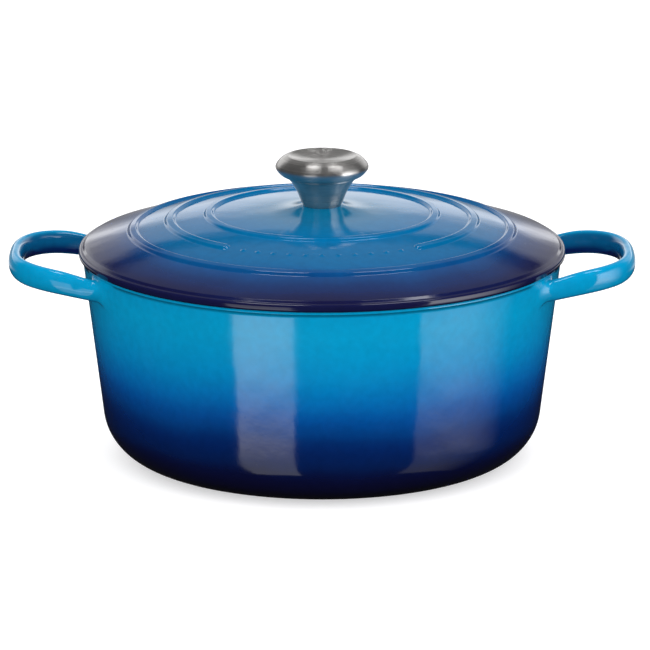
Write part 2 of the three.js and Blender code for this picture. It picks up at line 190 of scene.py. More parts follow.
def make_piece(name, vertices, faces, zones, materials, shade=None, merge=1e-6):
    """A smooth shaded mesh object. zones holds each face's material number, and shade how much painted shade
    each vertex gets."""
    mesh = bpy.data.meshes.new(name)
    quads = [list(map(int, face)) for face in faces]
    mesh.from_pydata(np.asarray(vertices, float).tolist(), [], quads)
    if shade is not None:
        mesh.attributes.new("shade", "FLOAT", "POINT").data.foreach_set("value", shade.astype(np.float32))
    for material in materials:
        mesh.materials.append(material)
    mesh.polygons.foreach_set("material_index", np.asarray(zones, np.int32))
    build = bmesh.new()
    build.from_mesh(mesh)
    bmesh.ops.remove_doubles(build, verts=build.verts, dist=merge)
    loose = [vertex for vertex in build.verts if not vertex.link_faces]
    bmesh.ops.delete(build, geom=loose, context="VERTS")
    build.to_mesh(mesh)
    build.free()
    mesh.shade_smooth()
    piece = bpy.data.objects.new(name, mesh)
    bpy.context.scene.collection.objects.link(piece)
    return piece


def spun(section, angles):
    """A grid of points, one row for each (radius, height) of a section and one column for each angle."""
    radius, z = section[:, :1], section[:, 1:]
    return np.stack([radius * np.cos(angles), radius * np.sin(angles), z + 0 * angles], -1)


def revolve(name, profile, material, columns=128):
    """Turns an anticlockwise outline of (radius, height) points about the Z axis."""
    profile = np.array(profile, float)
    vertices = spun(profile, np.linspace(0, 2 * math.pi, columns + 1)).reshape(-1, 3)
    faces = grid_faces(len(profile), columns + 1).reshape(-1, 4)
    return make_piece(name, vertices, faces, np.zeros(len(faces)), [material])


# ---- Materials ----------------------------------------------------------------------------------

WAVE_DEPTH = 0.25 * MM
PEEL_DEPTH = 0.02 * MM
PINHOLE_DEPTH = 0.03 * MM
GRAIN_DEPTH = 0.03 * MM
TURNING_DEPTH = 0.006 * MM
TURNING_SCALE = 5200


class Paint:
    """A Principled material and short ways to add nodes to it. Patterns use object coordinates."""

    def __init__(self, name, **settings):
        self.material = bpy.data.materials.new(name)
        self.material.use_nodes = True
        self.nodes = self.material.node_tree.nodes
        self.links = self.material.node_tree.links
        self.shader = self.nodes["Principled BSDF"]
        for socket, value in settings.items():
            self.shader.inputs[socket.replace("_", " ")].default_value = value
        self.place = self.nodes.new("ShaderNodeTexCoord").outputs["Object"]

    def add(self, kind, inputs=(), **settings):
        node = self.nodes.new("ShaderNode" + kind)
        for name, value in settings.items():
            setattr(node, name, value)
        for socket, value in dict(inputs).items():
            if isinstance(value, bpy.types.NodeSocket):
                self.links.new(value, node.inputs[socket])
            else:
                node.inputs[socket].default_value = value
        return node

    def math(self, operation, *values):
        return self.add("Math", dict(enumerate(values)), operation=operation).outputs[0]

    def from_axis(self):
        """The distance from the Z axis."""
        flat = self.add("VectorMath", {0: self.place, 1: (1, 1, 0)}, operation="MULTIPLY").outputs[0]
        return self.add("VectorMath", {0: flat}, operation="LENGTH").outputs["Value"]

    def noise(self, scale, detail=2.0, where=None, rough=0.5):
        inputs = {"Vector": where or self.place, "Scale": scale, "Detail": detail, "Roughness": rough}
        return self.add("TexNoise", inputs).outputs["Fac"]

    def spread(self, value, low, high, from_low=0.3, from_high=0.7):
        inputs = {0: value, 1: from_low, 2: from_high, 3: low, 4: high}
        return self.add("MapRange", inputs).outputs[0]

    def ramp(self, value, stops):
        node = self.add("ValToRGB", {0: value})
        node.color_ramp.interpolation = "CARDINAL" if len(stops) > 3 else "LINEAR"
        elements = node.color_ramp.elements
        while len(elements) < len(stops):
            elements.new(0.5)
        for element, (position, colour) in zip(elements, stops):
            element.position = position
            element.color = linear(colour)
        return node.outputs[0]

    def mix(self, share, first, second, blend="MIX"):
        node = self.add("Mix", {"Factor": share}, data_type="RGBA", blend_type=blend)
        for socket, value in ((node.inputs[6], first), (node.inputs[7], second)):
            if isinstance(value, bpy.types.NodeSocket):
                self.links.new(value, socket)
            else:
                socket.default_value = value
        return node.outputs[2]

    def bump(self, height, distance, strength=1.0, after=None):
        inputs = {"Height": height, "Distance": distance, "Strength": strength}
        if after:
            inputs["Normal"] = after
        return self.add("Bump", inputs).outputs[0]

    def set(self, **sockets):
        for socket, value in sockets.items():
            self.links.new(value, self.shader.inputs[socket.replace("_", " ")])
        return self.material


def linear(colour):
    """An sRGB colour of three numbers from 0 to 255 as a linear RGBA."""
    shares = [c / 255 for c in colour]
    return [s / 12.92 if s <= 0.04045 else ((s + 0.055) / 1.055) ** 2.4 for s in shares] + [1.0]


def enamel_surface(paint, colour):
    """Adds what fired enamel shares: faint mottling, uneven gloss, orange peel and a few pinholes."""
    mottle = paint.spread(paint.noise(220, 4), 0.93, 1.05)
    tone = paint.add("CombineColor", {0: mottle, 1: mottle, 2: mottle}).outputs[0]
    waves = paint.bump(paint.noise(38, 1), WAVE_DEPTH)
    peel = paint.bump(paint.noise(260, 2), PEEL_DEPTH, after=waves)
    pits = paint.add("TexVoronoi", {"Vector": paint.place, "Scale": 150.0}).outputs["Distance"]
    pinholes = paint.bump(paint.spread(pits, 0, 1, 0.02, 0.07), PINHOLE_DEPTH, after=peel)
    return paint.set(
        Base_Color=paint.mix(1.0, colour, tone, "MULTIPLY"),
        Roughness=paint.spread(paint.noise(45, 3), 0.07, 0.12),
        Normal=pinholes,
    )


def pot_enamel():
    """Azure at the rim and the handles, through mid blue, to navy at the foot."""
    paint = Paint("pot_enamel", IOR=1.5)
    height = paint.add("SeparateXYZ", {0: paint.place}).outputs[2]
    drift = paint.spread(paint.noise(16, 2), -0.002, 0.002)
    share = paint.math("DIVIDE", paint.math("ADD", height, drift), POT_RIM_Z)
    stops = [  # share of the height, then the colour
        (0.06, (14, 13, 46)),
        (0.2, (4, 22, 68)),
        (0.36, (0, 48, 110)),
        (0.5, (0, 88, 158)),
        (0.65, (0, 126, 184)),
        (0.85, (0, 146, 194)),
    ]
    # painted shade on the handles: where the shade attribute is set, the colour is mixed towards navy
    shade = paint.add("Attribute", attribute_name="shade").outputs["Fac"]
    return enamel_surface(paint, paint.mix(shade, paint.ramp(share, stops), linear((10, 28, 82))))


def lid_enamel():
    """Azure in the middle, through mid blue, to navy at the rim."""
    paint = Paint("lid_enamel", IOR=1.5)
    radius = paint.from_axis()
    drift = paint.spread(paint.noise(14, 2), -0.004, 0.004)
    share = paint.math("DIVIDE", paint.math("ADD", radius, drift), LID_RADIUS)
    stops = [  # share of the radius, then the colour
        (0.15, (0, 108, 150)),
        (0.42, (0, 100, 150)),
        (0.64, (0, 94, 143)),
        (0.735, (2, 88, 138)),
        (0.79, (6, 68, 122)),
        (0.85, (9, 48, 98)),
        (0.92, (14, 32, 78)),
        (0.99, (18, 20, 58)),
    ]
    return enamel_surface(paint, paint.ramp(share, stops))


def sand_enamel():
    """Pale sand coloured enamel with fine specks."""
    paint = Paint("sand_enamel", IOR=1.5)
    specks = paint.spread(paint.noise(900, 3), 0, 1, 0.62, 0.7)
    tone = paint.ramp(paint.noise(30, 4), [(0.3, (222, 205, 172)), (0.7, (236, 222, 192))])
    colour = paint.mix(specks, tone, linear((176, 150, 112)))
    return enamel_surface(paint, colour)


def rim_enamel():
    """Matte black enamel on the two faces that meet."""
    paint = Paint("rim_enamel", IOR=1.45)
    grain = paint.noise(1400, 3)
    return paint.set(
        Base_Color=paint.ramp(paint.noise(90, 4), [(0.3, (24, 23, 25)), (0.7, (40, 39, 42))]),
        Roughness=paint.spread(grain, 0.5, 0.7),
        Normal=paint.bump(grain, GRAIN_DEPTH),
    )


def turned_steel(name, light, dark, rough):
    """Stainless steel with fine rings left by turning."""
    paint = Paint(name, Metallic=0.9, Anisotropic=0.88, Anisotropic_Rotation=0.25)
    radius = paint.from_axis()
    height = paint.add("SeparateXYZ", {0: paint.place}).outputs[2]
    section = paint.add("CombineXYZ", {0: radius, 2: height}).outputs[0]
    rings = paint.noise(TURNING_SCALE, 2, section)
    smears = paint.noise(70, 3)
    tone = paint.math("MULTIPLY_ADD", smears, 0.5, paint.math("MULTIPLY", rings, 0.5))
    tangent = paint.add("Tangent", direction_type="RADIAL", axis="Z").outputs[0]
    return paint.set(
        Base_Color=paint.ramp(tone, [(0.35, dark), (0.65, light)]),
        Roughness=paint.spread(rings, rough - 0.05, rough + 0.07),
        Normal=paint.bump(rings, TURNING_DEPTH),
        Tangent=tangent,
    )


# ---- Pot ----------------------------------------------------------------------------------------

EXTERIOR, RIM, INTERIOR = range(3)
QUADRANT_COLUMNS = 90
MOUTH_RUNS = 5  # how many runs of the mouth's rounded edge stay bare of the inner enamel

# Rings of half a handle: across its patch of the wall, along the fillet, the bar's start and its loop
PATCH_RINGS = 5
FILLET_RINGS = 9
START_RINGS = 6
LOOP_RINGS = 63
START_LENGTH = 7 * MM
SHADE_FIRST_RING = 6  # where the shade on the handle starts
SHADE_RINGS = 6  # how many rings it takes to be full


def wall_radius(z):
    return POT_FOOT_RADIUS + (POT_RIM_RADIUS - POT_FOOT_RADIUS) * z / POT_RIM_Z


def on_wall(angle, z):
    radius = wall_radius(z)
    return np.stack([radius * np.cos(angle), radius * np.sin(angle), z + 0 * angle], -1)


def pot_rows():
    """The pot's section, anticlockwise from the middle of the base, and the zone of each run."""
    rim_low = POT_RIM_Z - POT_RIM_ROUND
    base = rounded([
        (0, FOOT_RECESS),
        (FOOT_RING_INNER - FOOT_RECESS, FOOT_RECESS),
        (FOOT_RING_INNER, 0),
        (POT_FOOT_RADIUS, 0, POT_CORNER_RADIUS),
        (wall_radius(ROOT_LOW_Z), ROOT_LOW_Z),
    ], math.radians(4))
    root_high = rim_low - 0.1 * MM
    root = [(wall_radius(z), z) for z in np.linspace(ROOT_LOW_Z, root_high, ROOT_ROWS + 1)]
    rim_edge = rounded([
        (wall_radius(rim_low), root_high),
        (wall_radius(POT_RIM_Z), POT_RIM_Z, POT_RIM_ROUND),
        (POT_MOUTH_RADIUS + 2 * MM, POT_RIM_Z),
    ])[1:]
    inner_foot = wall_radius(POT_FLOOR) - POT_WALL
    inside = rounded([
        (POT_MOUTH_RADIUS + 2 * MM, POT_RIM_Z),
        (POT_MOUTH_RADIUS + 0.1 * MM, POT_RIM_Z, 1.2 * MM),
        (inner_foot, POT_FLOOR, POT_CORNER_RADIUS - POT_WALL),
        (0, POT_FLOOR),
    ], math.radians(5))
    outside = refined(base, 5 * MM)
    root_first = len(outside) - 1
    rows = outside[:-1] + root + rim_edge[:-1]
    rim_first = len(rows) - 1
    inner_rows = refined(inside, 5 * MM)
    rows += [rim_edge[-1]]
    inside_first = len(rows) + MOUTH_RUNS
    rows += inner_rows[1:]
    zones = np.full(len(rows) - 1, EXTERIOR)
    zones[rim_first:] = RIM
    zones[inside_first:] = INTERIOR
    return np.array(rows, float), zones, root_first


def centre_line():
    """Half of a handle's centre line from inside the wall to its end: lengths and points."""
    turn = np.linspace(math.pi / 2, 0, 3000)
    power = 2 / LOOP_SQUARENESS
    x = LOOP_START_X + (LOOP_REACH - LOOP_START_X) * np.cos(turn) ** power
    y = LOOP_HALF_WIDTH * np.sin(turn) ** power
    x[0], y[-1] = LOOP_START_X, 0
    x = np.concatenate([[LOOP_START_X - RUN_IN], x])
    y = np.concatenate([[LOOP_HALF_WIDTH], y])
    lengths = np.concatenate([[0], np.cumsum(np.hypot(np.diff(x), np.diff(y)))])
    return lengths, x, y


LENGTHS, LINE_X, LINE_Y = centre_line()


def bar_point(length, angle):
    """Points on the handle's bar at a length along it and an angle round it, 0 outwards and 90 degrees up."""
    x, y = np.interp(length, LENGTHS, LINE_X), np.interp(length, LENGTHS, LINE_Y)
    step = 0.4 * MM
    ahead, behind = np.minimum(length + step, LENGTHS[-1]), length - step
    along_x = np.interp(ahead, LENGTHS, LINE_X) - np.interp(behind, LENGTHS, LINE_X)
    along_y = np.interp(ahead, LENGTHS, LINE_Y) - np.interp(behind, LENGTHS, LINE_Y)
    at_end = length > LENGTHS[-1] - 0.01 * MM
    along_x, along_y = np.where(at_end, 0, along_x), np.where(at_end, -1, along_y)
    size = np.hypot(along_x, along_y)
    out_x, out_y = -along_y / size, along_x / size
    power = 2 / BAR_SQUARENESS
    across = BAR_HALF_WIDTH * np.sign(np.cos(angle)) * np.abs(np.cos(angle)) ** power
    up = BAR_HALF_HEIGHT * np.sign(np.sin(angle)) * np.abs(np.sin(angle)) ** power
    short = np.minimum((POT_HIGH.x - x) / (POT_HIGH.x - LOOP_WALL_X), 1.2)
    up = np.where(up > 0, up * (1 - ROOT_SQUASH * eased(0.7, 1.2, short)), up)
    tip = np.clip(1 - short * 3, 0, 1) ** 2
    lift = TIP_LIFT * tip * np.maximum(-np.sin(angle), 0) * (0.5 + 0.5 * np.cos(angle))
    z = LOOP_END_Z - LOOP_RISE * short**2 + up + lift
    return np.stack([x + out_x * across, y + out_y * across, z + 0 * x], -1)


def length_at_wall(angle):
    """How far along the bar each line of its surface meets the pot's wall, by bisection."""
    low, high = np.zeros_like(angle), np.full_like(angle, 30 * MM)
    for _ in range(40):
        middle = (low + high) / 2
        point = bar_point(middle, angle)
        inside = np.hypot(point[:, 0], point[:, 1]) < wall_radius(point[:, 2])
        low, high = np.where(inside, middle, low), np.where(inside, high, middle)
    return low


def softened(rings, last, share, rounds=30):
    """The rings with the ones between the first and the last evened out, but never sunk into the wall."""
    for _ in range(rounds):
        inner = rings[1:last]
        around = np.roll(inner, 1, 1) + np.roll(inner, -1, 1)
        even = (around + rings[:last - 1] + rings[2:last + 1]) / 4
        moved = inner + (even - inner) * 0.5 * share[None, :, None]
        radius = np.hypot(moved[..., 0], moved[..., 1])
        moved[..., :2] *= (np.maximum(radius, wall_radius(moved[..., 2])) / radius)[..., None]
        rings[1:last] = moved
    return rings


def patch_edge(root_z):
    """The edge of a root's patch of the wall, as (angle about the axis, height)."""
    low, high = ROOT_ANGLES
    columns = np.radians(np.arange(low, high + 1))
    edge = [(angle, root_z[0]) for angle in columns[:-1]]
    edge += [(columns[-1], z) for z in root_z[:-1]]
    edge += [(angle, root_z[-1]) for angle in columns[:0:-1]]
    edge += [(columns[0], z) for z in root_z[:0:-1]]
    return np.array(edge)


def root_fillet(wall_point, angle, top_z):
    """How wide the fillet is all round a root, and the (angle, height) on the wall where it starts."""
    wall_angle = np.arctan2(wall_point[:, 1], wall_point[:, 0])
    middle_angle = (wall_angle.min() + wall_angle.max()) / 2
    middle_z = (wall_point[:, 2].min() + wall_point[:, 2].max()) / 2
    away = np.stack([(wall_angle - middle_angle) * POT_RIM_RADIUS, wall_point[:, 2] - middle_z], -1)
    away /= np.linalg.norm(away, axis=1, keepdims=True)
    side, up = np.cos(angle), np.sin(angle)
    towards = {"outer": side, "inner": -side, "top": up, "bottom": -up}
    fillet = sum(ROOT_FILLETS[name] * np.maximum(share, 0) ** 2 for name, share in towards.items())
    room_above = (top_z - 0.2 * MM - wall_point[:, 2]) / np.maximum(away[:, 1], 0.05)
    fillet = np.minimum(fillet, room_above)
    foot_angle = wall_angle + away[:, 0] * fillet / POT_RIM_RADIUS
    foot_z = wall_point[:, 2] + away[:, 1] * fillet
    return fillet, np.stack([foot_angle, foot_z], -1)


def half_handle(root_z):
    """Rings of half a handle, from the edge of its patch of the wall to the loop's end."""
    edge = patch_edge(root_z)
    offset = (edge - (edge.min(0) + edge.max(0)) / 2) / ((edge.max(0) - edge.min(0)) / 2)
    angle = np.arctan2(offset[:, 1], offset[:, 0])
    side, up = np.cos(angle), np.sin(angle)
    meet = length_at_wall(angle)
    wall_point = bar_point(meet, angle)
    fillet, fillet_foot = root_fillet(wall_point, angle, edge[:, 1].max())

    rings = []
    for share in np.linspace(0, 1, PATCH_RINGS):
        rings.append(on_wall(*blended(edge, fillet_foot, share).T))
    foot, end = rings[-1], bar_point(meet + fillet, angle)
    for share in np.linspace(0, 1, FILLET_RINGS + 1)[1:]:
        rings.append(foot * (1 - share) ** 2 + wall_point * 2 * share * (1 - share) + end * share**2)
    even = (meet + fillet).max() + START_LENGTH
    for share in np.linspace(0, 1, START_RINGS + 1)[1:]:
        rings.append(bar_point(blended(meet + fillet, even, share), angle))
    for length in np.linspace(even, LENGTHS[-1], LOOP_RINGS + 1)[1:]:
        rings.append(bar_point(np.full_like(angle, length), angle))
    rings[-1][:, 1] = 0
    soft_rings = PATCH_RINGS + FILLET_RINGS + START_RINGS // 2
    rings = softened(np.array(rings), soft_rings, 0.15 + 0.85 * eased(-0.2, 0.5, up))
    return rings, handle_shade(len(rings), side, up)


def handle_shade(ring_count, side, up):
    """Painted shade: how much darker the inner side and the underside are coloured, with a little over the
    rest of the bar, from nothing at the wall to full on the bar.
    """
    inner = eased(0.1, 0.8, -side) * (0.65 + 0.35 * eased(-0.2, 0.8, -up))
    shade = np.maximum(0.1 + inner, 0.6 * eased(0.6, 0.98, -up))
    past_patch = np.clip((np.arange(ring_count) - SHADE_FIRST_RING) / SHADE_RINGS, 0, 1)
    return past_patch[:, None] * shade


def pot(materials):
    """One quarter is built, with half a handle on it, and mirrored three times."""
    rows, row_zones, root_first = pot_rows()
    angles = np.radians(np.arange(QUADRANT_COLUMNS + 1))
    wall = spun(rows, angles)
    wall_size = len(rows) * len(angles)
    faces = grid_faces(len(rows), len(angles))
    zones = np.repeat(row_zones[:, None], QUADRANT_COLUMNS, 1)
    keep = np.ones(zones.shape, bool)
    keep[root_first:root_first + ROOT_ROWS, ROOT_ANGLES[0]:ROOT_ANGLES[1]] = False
    faces, zones = faces[keep], zones[keep]

    rings, shade = half_handle(rows[root_first:root_first + ROOT_ROWS + 1, 1])
    rings = np.concatenate([rings, rings[:, :1]], 1)
    shade = np.concatenate([shade, shade[:, :1]], 1)
    ring_faces = grid_faces(len(rings), rings.shape[1], wall_size).reshape(-1, 4)
    quarter = np.concatenate([wall.reshape(-1, 3), rings.reshape(-1, 3)])
    shade = np.concatenate([np.zeros(wall_size), shade.ravel()])
    faces = np.concatenate([faces, ring_faces])
    zones = np.concatenate([zones, np.full(len(ring_faces), EXTERIOR)])

    all_vertices, all_faces = [], []
    for x_side in (1, -1):
        for y_side in (1, -1):
            turned = faces if x_side == y_side else faces[:, ::-1]
            all_faces.append(turned + len(quarter) * len(all_vertices))
            all_vertices.append(quarter * (x_side, y_side, 1))
    piece = make_piece("pot_casting", np.concatenate(all_vertices), np.concatenate(all_faces),
                       np.tile(zones, 4), materials, np.tile(shade, 4))
    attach(piece, "pot")
    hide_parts("pot")
    return piece


# ---- Lid ----------------------------------------------------------------------------------------

RIDGE_ROWS = 19
FRONT_COLUMNS = 201
RIDGE_FLAT = 0.45  # how much of a ridge's half width is its flat top
BOSS_FULLNESS = 2.6


def dome_z(radius):
    """Height of the dome without its ridges: a full crown, then a shoulder that flattens to the rim."""
    radius = np.asarray(radius, float)
    crown = CROWN_Z - SHOULDER_DROP * (np.minimum(radius, SHOULDER_RADIUS) / SHOULDER_RADIUS) ** DOME_FULLNESS
    run = DOME_FOOT_RADIUS - SHOULDER_RADIUS
    along = (radius - SHOULDER_RADIUS) / run
    shoulder_z = CROWN_Z - SHOULDER_DROP
    slope = -DOME_FULLNESS * SHOULDER_DROP * run / SHOULDER_RADIUS
    shoulder = shoulder_z + slope * along + (DOME_FOOT_Z - shoulder_z - slope) * along**2
    return np.where(radius < SHOULDER_RADIUS, crown, shoulder)


def boss_rise(radius):
    """How far the boss stands above the dome."""
    along = np.clip((BOSS_FOOT_RADIUS - radius) / (BOSS_FOOT_RADIUS - BOSS_TOP_RADIUS), 0, 1)
    return (BOSS_TOP_Z - dome_z(BOSS_FOOT_RADIUS)) * along**BOSS_FULLNESS


def swell(distance, flat):
    """1 on top of a raised shape and 0 from its edge (distance 1) outwards, with soft sides."""
    return eased(1, flat, distance)


def relief(radius, angle):
    """Height of the ridges and the pips above the dome."""
    height = np.zeros(np.broadcast(radius, angle).shape)
    for inner, outer in (INNER_RIDGE, OUTER_RIDGE):
        from_middle = np.abs(radius - (inner + outer) / 2)
        height += RIDGE_HEIGHT * swell(from_middle / ((outer - inner) / 2), RIDGE_FLAT)
    middle, half = sum(MIDDLE_RIDGE) / 2, (MIDDLE_RIDGE[1] - MIDDLE_RIDGE[0]) / 2
    from_front = np.abs((angle + math.pi / 2 + math.pi) % (2 * math.pi) - math.pi)
    past_end = np.maximum(RIDGE_OPENING / 2 - from_front, 0) * middle
    height += RIDGE_HEIGHT * swell(np.hypot(radius - middle, past_end) / half, RIDGE_FLAT)
    step = RIDGE_OPENING * PIP_ROW_SHARE / (PIP_COUNT - 1)
    for i in range(PIP_COUNT):
        around = (angle + math.pi / 2 - (i - (PIP_COUNT - 1) / 2) * step) * middle
        distance = np.hypot((radius - middle) / (PIP_LENGTH / 2), around / (PIP_WIDTH / 2))
        height += PIP_HEIGHT * swell(distance, 0.0)
    return height


def lid_columns():
    """Angles of the lid's columns, closer together at the front opening and at the flange's lugs."""
    front, lug = RIDGE_OPENING / 2 + math.radians(4), math.radians(3.5)
    angles = [np.radians(np.arange(-180, 180, 2.0))]
    angles.append(-math.pi / 2 + np.linspace(-front, front, FRONT_COLUMNS))
    for i in range(LUG_COUNT):
        angles.append(math.radians(45 - 180) + i * 2 * math.pi / LUG_COUNT + np.linspace(-lug, lug, 9))
    angles = np.sort(np.concatenate(angles))
    in_front = np.abs(angles + math.pi / 2) < front
    gap = np.concatenate([[1], np.diff(angles)])
    angles = angles[gap > np.where(in_front, math.radians(0.25), math.radians(0.35))]
    return np.concatenate([angles, [angles[0] + 2 * math.pi]])


def lid_rows():
    """The lid's section, anticlockwise from the underside of its screw hole, with the zone of each run."""
    flange_foot = LID_RIM_Z - FLANGE_DEPTH
    under_radii = np.concatenate([[SCREW_HOLE], np.linspace(12 * MM, FLANGE_INNER - 8 * MM, 26)])
    under = [(r, dome_z(r) - LID_WALL) for r in under_radii]
    last = under[-1]
    flange = rounded([
        last,
        (FLANGE_INNER - 1 * MM, last[1] - 3.6 * MM, 4 * MM),
        (FLANGE_INNER, flange_foot, 1.2 * MM),
        (FLANGE_OUTER, flange_foot, 1.4 * MM),
        (FLANGE_OUTER + 0.6 * MM, LID_RIM_Z, 0.3 * MM),
        (LID_RADIUS, LID_RIM_Z, LID_RIM_ROUND),
        (LID_RADIUS, LID_RIM_Z + LID_RIM_HEIGHT, LID_RIM_ROUND),
        (DOME_FOOT_RADIUS + 1.5 * MM, LID_RIM_Z + LID_RIM_HEIGHT + 0.1 * MM, 0.7 * MM),
        (DOME_FOOT_RADIUS, DOME_FOOT_Z, 0.7 * MM),
        (DOME_FOOT_RADIUS - 6 * MM, dome_z(DOME_FOOT_RADIUS - 6 * MM)),
    ])
    flange = refined(flange, 4 * MM)
    plain = np.arange(BOSS_TOP_RADIUS, DOME_FOOT_RADIUS - 7.5 * MM, 1.7 * MM)
    ridges = (INNER_RIDGE, MIDDLE_RIDGE, OUTER_RIDGE)
    fine = [np.linspace(low - 0.4 * MM, high + 0.4 * MM, RIDGE_ROWS) for low, high in ridges]
    clear = np.all([(plain < f[0] - 0.5 * MM) | (plain > f[-1] + 0.5 * MM) for f in fine], 0)
    radii = np.sort(np.concatenate([plain[clear], *fine]))[::-1]
    top = [(r, dome_z(r) + boss_rise(r)) for r in radii]
    hole = [(SCREW_HOLE, BOSS_TOP_Z), under[0]]
    rows = np.array(under + flange[1:] + top + hole, float)
    middle = (rows[1:] + rows[:-1]) / 2
    contact = (np.abs(middle[:, 1] - LID_RIM_Z) < 0.3 * MM) & (middle[:, 0] > FLANGE_OUTER)
    zones = np.full(len(middle), EXTERIOR)
    zones[:np.argmax(contact)] = INTERIOR
    zones[contact] = RIM
    return rows, zones


def lid(materials):
    rows, row_zones = lid_rows()
    angles = lid_columns()
    radius = rows[:, :1] + 0 * angles
    on_flange = (rows[:, 0] > FLANGE_OUTER - 0.1 * MM) & (rows[:, 1] < LID_RIM_Z - 0.05 * MM)
    past_lug = (angles + math.pi / 4) % (math.pi / 2)
    from_lug = np.minimum(past_lug, math.pi / 2 - past_lug) * FLANGE_OUTER
    lug = swell(from_lug / (LUG_LENGTH / 2), 0.8) * (LUG_RADIUS - FLANGE_OUTER)
    lug_share = np.clip((rows[:, 1] - (LID_RIM_Z - FLANGE_DEPTH * 0.7)) / (0.6 * MM), 0, 1)
    radius += np.where(on_flange, lug_share, 0)[:, None] * lug
    on_top = (rows[:, 1] > LID_RIM_Z + LID_RIM_HEIGHT) & (np.arange(len(rows)) > np.argmax(rows[:, 0]))
    z = rows[:, 1:] + np.where(on_top[:, None], relief(rows[:, :1], angles), 0)
    vertices = np.stack([radius * np.cos(angles), radius * np.sin(angles), z], -1).reshape(-1, 3)
    faces = grid_faces(len(rows), len(angles)).reshape(-1, 4)
    zones = np.repeat(row_zones, len(angles) - 1)
    piece = make_piece("lid_casting", vertices, faces, zones, materials)
    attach(piece, "lid")
    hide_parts("lid")
    return piece


# ---- Knob and fastening -------------------------------------------------------------------------

def raised(points, base):
    """Points given in millimetres above a base height, in metres."""
    return [(radius * MM, base + z * MM) for radius, z in points]


def inset(points, distance):
    """A curve moved to its left."""
    points = np.array(points, float)
    along = np.gradient(points, axis=0)
    along /= np.linalg.norm(along, axis=1, keepdims=True)
    return points + np.stack([-along[:, 1], along[:, 0]], -1) * distance


def knob_stem(material):
    seam = STEM_HIGH.x / MM
    outside = smooth(raised([
        (11.8, 1), (12.9, 3.1), (14.7, 7.8), (17.4, 12.7), (20, 16.3), (seam, 17.4),
    ], STEM_LOW.z), 40)
    inside = inset(outside, KNOB_SKIN)[::-1]
    foot = rounded(raised([(3.5, 0), (11.2, 0), (11.7, 0.6), (11.8, 1)], STEM_LOW.z))
    floor = raised([(9.4, 1.8), (3.5, 1.8), (3.5, 0)], STEM_LOW.z)
    profile = refined(foot, 2 * MM)[:-1] + list(outside) + list(inside[:-1]) + floor
    return finish_piece("knob_stem_shell", profile, material, "knob_stem")


def knob_head(material):
    base, top = HEAD_LOW.z, HEAD_HIGH.z
    height = (top - base) / MM
    widest = HEAD_HIGH.x / MM
    outside = smooth(raised([
        (21.6, 0), (25.2, 1.8), (widest, 6.1), (25.3, 10.6), (21.6, height - 0.2), (20, height),
        (18.4, height - 0.45), (12.2, height - 1.75), (6, height - 2.45), (0, height - 2.6),
    ], base), 100)
    inside = inset(outside, KNOB_SKIN)[::-1]
    inside[0] = (0, outside[-1][1] - KNOB_SKIN)
    profile = list(inside) + list(outside)
    profile.append(inside[0])
    return finish_piece("knob_head_shell", profile, material, "knob_head")


def finish_piece(name, profile, material, node, columns=128):
    """Turns a closed profile and sets it in place of a CAD node on the lid."""
    piece = revolve(name, profile, material, columns)
    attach(piece, "lid")
    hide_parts(node)
    return piece


def closed(points):
    return list(points) + [points[0]]


def bush(material):
    low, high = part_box("knob_bush")
    bore, body = 3.3 * MM, 6 * MM
    flange_top = low.z + 2 * MM
    profile = rounded([
        (bore, low.z),
        (high.x, low.z, 0.3 * MM),
        (high.x, flange_top, 0.3 * MM),
        (body, flange_top),
        (body, high.z, 0.4 * MM),
        (bore + 0.4 * MM, high.z),
        (bore, high.z - 0.4 * MM),
    ])
    return finish_piece("knob_bush_insert", closed(profile), material, "knob_bush", 48)


def flat_washer(material):
    low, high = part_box("flat_washer")
    bore = WASHER_BORE
    profile = rounded([
        (bore, low.z, 0.15 * MM),
        (high.x, low.z, 0.35 * MM),
        (high.x, high.z, 0.35 * MM),
        (bore, high.z, 0.15 * MM),
    ])
    return finish_piece("flat_washer_ring", closed(profile), material, "flat_washer", 96)


def spring_washer(material):
    """A split ring: a square bar bent round, with its two cut ends a little apart."""
    low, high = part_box("spring_washer")
    bore, slant = WASHER_BORE, 0.35
    section = np.array(rounded([
        (bore, low.z, 0.15 * MM),
        (high.x, low.z, 0.2 * MM),
        (high.x, high.z, 0.2 * MM),
        (bore, high.z, 0.15 * MM),
    ]))
    gap = 0.9 * MM / high.x
    angles = np.linspace(gap / 2, 2 * math.pi - gap / 2, 73)
    centre_z = (low.z + high.z) / 2
    vertices = []
    for angle in angles:
        turned = angle + (section[:, 1] - centre_z) * slant / high.x
        x, y = section[:, 0] * np.cos(turned), section[:, 0] * np.sin(turned)
        vertices.append(np.stack([x, y, section[:, 1]], -1))
    count = len(section)
    faces = []
    for k in range(len(angles) - 1):
        for i in range(count):
            a, b = k * count + i, k * count + (i + 1) % count
            faces.append((a, a + count, b + count, b))
    last = (len(angles) - 1) * count
    caps = [tuple(range(count)), tuple(range(last + count - 1, last - 1, -1))]
    piece = make_piece("spring_washer_ring", np.concatenate(vertices), faces + caps,
                       np.zeros(len(faces) + 2), [material])
    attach(piece, "lid")
    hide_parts("spring_washer")
    return piece


